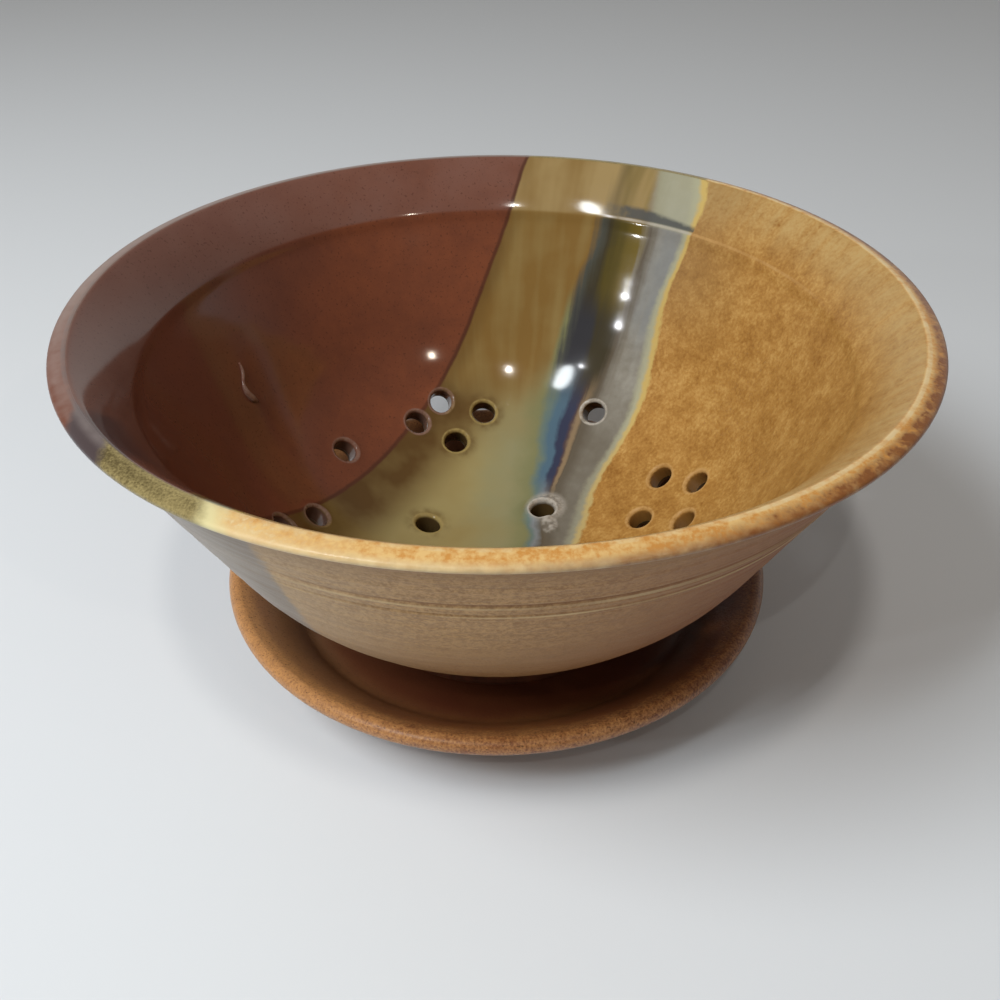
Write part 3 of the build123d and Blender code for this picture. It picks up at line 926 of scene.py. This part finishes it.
class BowlSurface(Surface):
    """The bowl's surface, with the patterns in its glazes and the edges of their dips."""

    def __init__(self, name):
        super().__init__(name)
        self.wander, self.ragged = self.blotches(14), self.blotches(2.2, detail=3)
        self.cloud, self.grain = self.blotches(16, detail=3), self.blotches(3.2, detail=4)
        self.fleck, self.sandy = self.blotches(0.9, detail=2), self.blotches(0.9, detail=3, roughness=0.75)
        self.lined, self.fine_lined = self.lines(40, 1.3, detail=3), self.lines(22, 0.45, detail=2)
        steep = self.z.rise(26, 44)
        self.streak, self.fine_streak = self.streaks(6, 50) * steep, self.streaks(2.2, 30, detail=3) * steep
        self.sideways = self.x / self.r
        self.facing = self.y.rise(15, -15)
        self.in_band = self.run.band(RIDGE_RUN, 2.0, 1.0)
        self.standing = self.z.rise(FOOT_Z + 0.5, FOOT_Z + 0.2) * self.run.rise(70, 75)
        self.dipped()

    def dipped(self):
        """How far each place is past the edges of the dips, and which dips it is in."""
        above_ridge = (self.z - (LIP_Z - BAND_DEPTH)).reckon("MAXIMUM", 0.0)
        red_edge = self.dip(*RED_DIP) + self.wander * 0.8 + self.ragged * 0.3
        self.red_edge = red_edge + above_ridge * self.y.rise(0, 40) * RED_BAND_TURN
        front = self.y.reckon("MINIMUM", 0.0)
        self.past_red = self.red_edge - front * front * RED_FRONT_BEND
        loose = self.z.rise(50, 30)
        unsteady = self.wander * (loose * 5 + 1) + self.ragged + self.blotches(5, detail=4) * loose * 4
        self.past_dark = self.x - self.y.curve(DARK_EDGE) + unsteady
        self.past_grey = self.x - self.y.curve(GREY_EDGE) + self.wander * 0.8 + self.ragged * 1.2
        self.past_tan = self.x - self.y.curve(TAN_EDGE) + self.ragged * 2.2
        self.in_olive = self.past_red.rise(-0.4, 0.4)
        self.in_dark = self.past_dark.rise(loose * -1.6 - 1.2, loose * 1.6 + 1.0)
        self.in_grey = self.past_grey.rise(-1.2, 1.2)
        self.in_tan = self.past_tan.rise(-0.4, 0.6)


def red_glaze(s):
    return layered(
        (s.cloud * 1.8 + s.grain * 0.9 + s.fleck * 0.4 + 0.5).mix(RED_DEEP, RED),
        (s.x.rise(-42, -80) * 0.6, RED_PLUM),
        # Painted reflection: the red on the band greyed as by a sheen.
        (s.in_band * (s.cloud + 0.6), RED_BAND_PAINTED_SHEEN),
        (s.blotches(0.7, detail=1).rise(0.12, 0.24) * 0.45, RED_LINE),
        (s.past_red.band(-0.7, 0.4, 0.9) * 0.7, RED_LINE),
    )


def olive_glaze(s):
    return layered(
        (s.z.rise(46, 20) * 0.8 + s.streak * 1.1 + s.cloud * 0.8 + 0.08).mix(OLIVE, OLIVE_PALE),
        (s.past_dark.rise(-22, -4) * s.z.rise(44, 24) * (s.cloud + 0.8), SAGE_PALE),
        (s.past_dark.rise(-7, 0) * s.z.rise(54, 30) * (s.cloud + 0.75), SAGE),
        (s.past_red.rise(24, 6) * s.z.rise(44, 31) * (s.cloud * 1.5 + 0.95), OLIVE_DEEP),
        (s.past_red.rise(6, 0) * (s.cloud * 1.5 + 0.4), OLIVE_DEEP),
        (s.bore.rise(-3.6, 0.0) * (s.cloud * 2 + s.grain * 2 + 0.3), OLIVE_DEEP),
        (s.in_band * (s.streak * 2 + s.cloud + 0.7), KHAKI),
    )


def stripe_glaze(s):
    """The dark stripe where three glazes overlap, by how far across it a place is."""
    across = s.past_dark / (s.past_dark - s.past_grey).reckon("MAXIMUM", 0.5) + s.fine_streak * 0.25
    upper = across.ramp(
        (0.0, OLIVE), (0.16, SLATE), (0.32, SOOT), (0.5, SOOT_OLIVE), (0.88, GOLD_OLIVE), (1.0, GREY))
    middle = across.ramp(
        (0.0, SAGE), (0.1, SLATE), (0.22, INK), (0.45, INK), (0.6, SOOT), (0.85, SOOT), (1.0, UMBER))
    lower = across.ramp(
        (0.0, SAGE), (0.2, TEAL), (0.34, BLUE), (0.46, BLUE), (0.56, NAVY), (0.7, NAVY), (0.76, PLUM),
        (0.83, SLIVER), (0.9, SLIVER), (0.97, UMBER), (1.0, GREY_LOW))
    lowest = across.ramp((0.0, SAGE), (0.3, TEAL), (0.5, GREY_BLUE), (0.75, UMBER), (1.0, GREY_LOW))
    return layered(
        upper,
        (s.z.rise(68, 56), middle),
        (s.z.rise(46, 34), s.z.rise(23.5, 20.3).mix(lower, lowest)),
        (s.in_band * (s.streak * 3 + 0.6), KHAKI),
    )


def grey_glaze(s):
    beyond = s.past_grey / (s.past_grey - s.past_tan).reckon("MAXIMUM", 0.5) + s.fine_streak * 0.3
    pale_edge = s.z.rise(20, 42) * 0.5 + 0.5
    return layered(
        (s.cloud * 1.8 + s.streak * 2 + s.grain * 2 + 0.5).mix(GREY, GREY_PALE),
        ((s.cloud + s.streak * 2 + 0.3) * s.z.rise(44, 60), GREY_BLUE),
        (s.z.rise(50, 24) * (s.cloud + 0.8), GREY_LOW),
        (beyond / -0.3 + 1, UMBER),
        (s.in_band * 0.7, GREY_GREEN),
        (s.past_tan.rise(-5.2, -2.4) * pale_edge, GREY_GREEN),
        (s.past_tan.rise(-2.6, -0.8) * (pale_edge * 0.5 + 0.5), LEMON),
    )


def tan_glaze(s):
    mottle = s.cloud * 0.6 + s.blotches(8, detail=2) * 0.55 + s.grain + s.fleck * 1.1 + 0.48
    brushed = s.fine_streak * 1.3 + s.grain * 0.8 + s.fleck * 0.8 + 0.6
    return layered(
        mottle.ramp((0.0, TAN_DEEP), (0.5, TAN), (1.0, TAN_PALE)),
        (s.run.rise(RIDGE_RUN - 1, -4.0) * brushed, TAN_BAND),
        (s.past_tan.rise(32, 4) * s.z.rise(52, 78) * 0.4, TAN_DULL),
    )


def collar_layers(s):
    """Thick pale glaze round one floor hole, and the blistered run beside it."""
    x, y = FLOOR_HOLE_RADIUS * polar(1, math.radians(FLOOR_HOLE_AZIMUTHS[0]))
    low = s.z.rise(RUN_TOP, RUN_TOP - 4)
    right, back = s.x - (x + COLLAR_SHIFT), s.y - (y + COLLAR_SHIFT)
    away = (right * right + back * back).reckon("SQRT") + s.fleck * 1.6
    collar = away.rise(HOLE / 2 + 3.4, HOLE / 2 + 1.2) * low * (s.fleck * 1.4 + 0.55)
    run_x, run_y = (np.array(RUN_START) + RUN_END) / 2
    right, back = (s.x - (x + run_x)) / RUN_WIDTH, (s.y - (y + run_y)) / RUN_LENGTH
    run = (right * right + back * back + s.fleck * 0.7).rise(1.6, 0.3) * low
    lumps = s.blotches(2.2, detail=1).rise(-0.16, 0.12)
    return (collar, RIM_GREY), (run * (lumps * 0.7 + 0.1), RIM_GREY)


def inside_glaze(s):
    """All the dips, the dark glaze that lies on the ridge, plum under the lip that is partly painted shade, a
    pale ridge line that is partly a painted highlight, and the holes with painted shade down their bores.
    """
    pool_top = s.x.rise(58, 40) * 2 + (RIDGE_RUN + 1)
    pooled = s.run.rise(RIDGE_RUN, RIDGE_RUN + 0.9) * s.run.rise(pool_top + 1.6, pool_top + s.ragged * 2)
    pool_ends = (s.x + s.ragged * 9 + s.cloud * 6).rise(30, 39) * s.x.rise(60, 57) * s.y.rise(40, 50)
    # Plum glaze run on from the lip down the band, partly painted shade under the lip.
    plum_and_shade_under_lip = s.run.rise(-15, -6) * s.facing * (s.red_edge + s.cloud * 12).band(3, 18, 7)
    # A pale line along the ridge: glaze broken thin on it, and partly a painted highlight.
    ridge = s.run.band(RIDGE_RUN - 0.2, RIDGE_RUN + 0.2, 0.35) * s.past_dark.rise(0, 4) * s.y.rise(5, 45)
    off_red = s.past_red.rise(5, 9)
    rim = layered(off_red.mix(RIM_RED, RIM_OLIVE), (s.in_dark, RIM_GREY), (s.in_tan, RIM_TAN))
    # Painted shade down inside the holes.
    bore = layered(off_red.mix(BORE_RED_PAINTED_SHADE, BORE_OLIVE_PAINTED_SHADE), (s.in_tan, BORE_TAN_PAINTED_SHADE))
    return layered(
        red_glaze(s),
        (s.in_olive, olive_glaze(s)),
        (s.in_dark, stripe_glaze(s)),
        (s.in_grey, grey_glaze(s)),
        (pooled * pool_ends * 0.9, POOL),
        (plum_and_shade_under_lip * 0.8, LIP_PLUM),
        (s.in_tan, tan_glaze(s)),
        (ridge * (s.grain * 1.5 + 0.55), s.in_tan.mix(RIM_GREY, RIM_TAN)),
        (s.bore.band(0.0, 0.7, 0.5) * (s.grain * 1.2 + s.fleck * 1.5 + 0.7), rim),
        *collar_layers(s),
        (s.bore.rise(0.7, 1.6), bore),
    )


def lip_glaze(s):
    """Toasted orange and cream, with the ends of the dips at the left and the back."""
    # The crest is paler in most of the lip's glazes: glaze broken thin over it, and partly a painted
    # highlight that grows toward the right.
    crest, outer = s.run.band(-0.3, 0.3, 0.4), s.run.rise(LIP_FACE_END - 1.8, LIP_FACE_END)
    patchy = s.blotches(4, detail=4, roughness=0.65)
    burnt = s.sideways.rise(0.1, 0.8) * s.run.rise(0.5, 2.2)
    crest_pale_and_lit = s.grain * 2 + patchy * 2 + s.sideways.rise(0.1, 0.6) * 0.6 + 0.1
    face = layered(
        (patchy * 2.6 + s.grain * 1.8 + s.fleck * 2.6 + 0.5).mix(LIP_ORANGE, LIP_PALE),
        (burnt * (s.grain * 3 + s.fleck * 2 + 0.9), LIP_BROWN),
        (crest * crest_pale_and_lit, CREAM),
        (outer * (patchy + 0.85), (s.sideways.rise(-0.2, 0.5) + s.grain * 1.2).mix(CREAM, LIP_BROWN)),
    )
    creamy = (s.x.rise(-12, LIP_TAN_X) * (s.fleck * -3 + s.grain * 2 + 0.3)).mix(face, CREAM)
    mossy = s.blotches(0.45, detail=2) * 1.8 + patchy * 0.6 + s.sideways.rise(-0.74, -0.5) * 0.4 + 0.18
    moss = layered(mossy.mix(LIP_MOSS, LIP_OLIVE), ((crest + outer) * (s.fleck * 1.2 + 0.35), LIP_OLIVE))
    plum = (s.run.rise(2.2, 0.2) * (s.grain + 0.8)).mix(LIP_PLUM, LIP_ASH)
    blush = layered(
        (s.grain * 1.5 + s.cloud + outer * 0.6 + 0.25).mix(LIP_RED, RED_DEEP),
        (crest * (s.grain * 2 + 0.4), LIP_ASH),
        (s.y.rise(-40, 0) * 0.4, LIP_GREY),
    )
    place = s.x + s.ragged * 2.5
    near = layered(
        blush,
        (place.rise(LIP_PLUM_X - 1.2, LIP_PLUM_X + 1.2), plum),
        (place.rise(LIP_MOSS_X - 1.2, LIP_MOSS_X + 1.2), moss),
        (place.rise(LIP_YELLOW_X - 4, LIP_YELLOW_X), LIP_YELLOW),
        (place.rise(LIP_TAN_X - 4, LIP_TAN_X + 2), creamy),
    )
    return layered(blush, (s.red_edge.rise(-0.5, 0.5), moss), (s.in_tan, face), (s.facing, near))


def outside_glaze(s):
    """Thin sandy beige over thrown clay, smoky at the left, with painted shade that browns the right side and
    darkens the foot, and a dark line and a pale line at each groove that are partly painted shade and
    highlight.
    """
    grooves = []
    for drop, width, dark in zip(GROOVE_DROPS, GROOVE_WIDTHS, GROOVE_STAIN_AND_SHADE):
        off = (s.z - (LIP_Z - drop)) / width
        # Dark glaze pooled in each groove, partly painted shade, and a pale line on the burr below it, glaze
        # broken thin and partly a painted highlight.
        grooves.append((off.band(-0.2, 0.7, 0.5) * (s.lined * 1.5 + dark), LIP_BROWN))
        grooves.append((off.band(-1.8, -1.4, 0.5) * (s.lined * 2 + 0.4), CREAM))
    beige = layered(
        (s.lined * 1.2 + s.fine_lined * 0.8 + s.sandy * 4.4 + s.grain * 1.6 + 0.48).mix(BEIGE_DARK, BEIGE),
        (s.z.rise(70, 30) * (s.sandy * 3.8 + s.grain + 0.85), BEIGE_WARM),
        # Painted shade: the outside browned toward the right side.
        (s.sideways.rise(-0.1, 0.7) * (s.sandy + s.lined + 0.85), BEIGE_PAINTED_SHADE),
        (s.run.rise(18, WALL_RUN) * 0.7, BEIGE_DARK),
        *grooves,
        (s.x.rise(-5, -50) * s.facing * (s.sandy + 0.6), BEIGE_PALE),
    )
    smoky = (s.x.rise(-62, -42) * (s.cloud + 0.8) + s.lined * 1.2).mix(LILAC, MAUVE)
    uneven = s.grain * 2 + 0.5
    return layered(
        s.red_edge.rise(-0.8, 0.8).mix(RED, smoky),
        ((s.past_tan + s.grain * 3).rise(-1.5, 1.5), beige),
        # Painted shade: the foot and the rounding above it darkened.
        (s.z.rise(FOOT_Z + 10.5, FOOT_Z + 9), uneven.mix(FOOT_PAINTED_SHADE, RUST_DEEP)),
        # Painted shade down inside the holes, from the outside.
        (s.bore.rise(0.4, 1.4), BORE_OLIVE_PAINTED_SHADE),
        (s.standing, uneven.mix(CLAY, BEIGE)),
    )


def bowl_glaze():
    """Dipped glazes: iron red, olive, dark and grey stripes where they overlap, and crystalline tan."""
    s = BowlSurface("bowl_glaze")
    on_lip, outward = s.run.rise(-0.9, -0.3), s.run.rise(LIP_END - 0.4, LIP_END + 1)
    colour = layered(inside_glaze(s), (on_lip, lip_glaze(s)), (outward, outside_glaze(s)))
    gloss = on_lip.blend(s.in_tan.blend(GLOSSY, s.fleck * 0.3 + SATIN), LIP_SATIN)
    roughness = s.standing.blend(outward.blend(gloss, s.fine_lined * 0.3 + DRY), BARE)
    crystals = s.in_tan * (s.fleck * 0.06 + s.grain * 0.04)
    relief = outward.blend(crystals, s.lined * 0.1 + s.fine_lined * 0.05 + s.sandy * 0.12)
    return s.finished(colour, roughness, relief + s.blotches(4) * 0.006)


def saucer_glaze():
    """Rust brown glaze broken to orange over the edge, with iron specks, and painted light and shade: darker
    in the well and on the right, lighter on the left.
    """
    s = Surface("saucer_glaze")
    cloud, grain, fleck = s.blotches(18, detail=3), s.blotches(3, detail=4), s.blotches(0.6, detail=3)
    standing = s.z.rise(0.5, 0.2)
    # The edge band, where the glaze breaks pale over the edge, is held back on the right by painted shade.
    edge = s.run.band(-2.0, 4.5, 3.5) * (s.x.rise(20, 65) * -0.35 + 1)
    colour = layered(
        (cloud * 1.5 + grain * 0.8 + fleck * 0.6 + 0.5).mix(RUST_DEEP, RUST),
        # Painted light on the left, painted shade on the right and down in the well.
        (s.x.rise(0, -55) * 0.6, RUST_PAINTED_LIGHT),
        (s.x.rise(0, 55) * 0.5, RUST_PAINTED_SHADE),
        (s.run.rise(-19, -28) * 0.85, RUST_PAINTED_SHADE),
        # The pale broken edge, raised on the left by painted light.
        (edge * (grain + fleck * 2.4 + s.x.rise(0, -55) * 0.3 + 0.4), RUST_PALE),
        (s.blotches(0.5, detail=2).rise(0.06, 0.22) * 0.8, SPECK),
        (standing, (grain * 2 + 0.5).mix(CLAY, BEIGE)),
    )
    gloss = s.run.rise(-5, -9).blend(grain * 0.3 + SAUCER_SATIN, SAUCER_WELL_SATIN)
    return s.finished(colour, standing.blend(gloss, BARE), grain * 0.06 + fleck * 0.06)


glaze = bowl_glaze()
bowl, bead = colander_bowl(glaze), glaze_bead(glaze)
saucer = drip_saucer(saucer_glaze())
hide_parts("colander_bowl")
for piece in (bowl, bead):
    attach(piece, "bowl")
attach(saucer, "saucer")
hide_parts("drip_saucer")

# Floor
FLOOR_REACH = 3.0  # from its middle to each side, in metres
FLOOR_COLOUR, FLOOR_ROUGHNESS = (0.66, 0.69, 0.72, 1), 0.6
floor_material = bpy.data.materials.new("floor")
floor_material.use_nodes = True
floor_shader = floor_material.node_tree.nodes["Principled BSDF"]
floor_shader.inputs["Base Color"].default_value = FLOOR_COLOUR
floor_shader.inputs["Roughness"].default_value = FLOOR_ROUGHNESS
floor_mesh = bpy.data.meshes.new("floor")
corners = [(x * FLOOR_REACH, y * FLOOR_REACH, 0) for x, y in ((-1, -1), (1, -1), (1, 1), (-1, 1))]
floor_mesh.from_pydata(corners, [], [(0, 1, 2, 3)])
floor_mesh.materials.append(floor_material)
floor_object = placed("floor", floor_mesh)

# Camera, in metres, millimetres of lens and degrees down from level
CAMERA_PLACE = (0.00095, -0.2347, 0.2079)
CAMERA_LENS, CAMERA_SENSOR, CAMERA_TILT = 39.6, 36.0, 36.02
CLIP_START = 0.01
camera_data = bpy.data.cameras.new("camera")
camera = placed("camera", camera_data)
camera_data.sensor_width, camera_data.lens, camera_data.clip_start = CAMERA_SENSOR, CAMERA_LENS, CLIP_START
camera.location = CAMERA_PLACE
camera.rotation_euler = (math.radians(90 - CAMERA_TILT), 0, 0)
bpy.context.scene.camera = camera
bpy.context.scene.view_settings.view_transform = "Standard"

# Lamps, in metres, watts and degrees. Two of them leave no highlight in the glaze.
AIM = Vector((0, 0, 0.05))


def lamp(name, azimuth, elevation, distance, size, energy, colour, tall=1.0, glossy=True):
    """A soft lamp that faces the bowl from a direction, some of them taller than wide."""
    a, e = math.radians(azimuth), math.radians(elevation)
    toward = Vector((math.cos(e) * math.cos(a), math.cos(e) * math.sin(a), math.sin(e)))
    data = bpy.data.lights.new(name, "AREA")
    data.shape = "ELLIPSE"
    data.size, data.size_y, data.energy, data.color = size, size * tall, energy, colour
    obj = placed(name, data)
    obj.location = toward * distance + AIM
    obj.rotation_euler = toward.to_track_quat("Z", "Y").to_euler()
    obj.visible_glossy = glossy


lamp("side", -151, 50, 0.95, size=0.5, energy=7.0, colour=(0.95, 0.98, 1.0), glossy=False)
lamp("overhead", -98, 68, 1.3, size=0.12, energy=3.0, colour=(1.0, 0.93, 0.85), glossy=False)
lamp("key", -131, 48, 1.1, size=0.114, energy=1.9, colour=(0.92, 0.98, 1.0), tall=2.1)
lamp("spot_right", -55.6, 38.5, 1.4, size=0.03, energy=0.7, colour=(1.0, 0.88, 0.72))
lamp("spot_front", -97.3, 49.9, 1.4, size=0.022, energy=0.9, colour=(1.0, 0.95, 0.88))
lamp("spot_key", -135.9, 39.9, 1.4, size=0.02, energy=0.35, colour=(0.95, 0.98, 1.0))
lamp("spot_left", -144.2, 24.5, 1.4, size=0.036, energy=1.0, colour=(0.95, 0.97, 1.0))

# The room: pale at the back, dim behind the camera
WORLD_BACK, WORLD_TOP, WORLD_FRONT = (0.55, 0.53, 0.51, 1), (0.18, 0.165, 0.15, 1), (0.11, 0.1, 0.09, 1)
world = bpy.data.worlds.new("world")
bpy.context.scene.world = world
world.use_nodes = True
tree = world.node_tree
_, ahead, upward = Field(tree, "TexCoord", output="Generated").parts()
sky = upward.rise(0.15, 0.6).mix(ahead.rise(-0.1, 0.7).mix(WORLD_FRONT, WORLD_BACK), WORLD_TOP)
plug(tree, tree.nodes["Background"].inputs["Color"], sky)
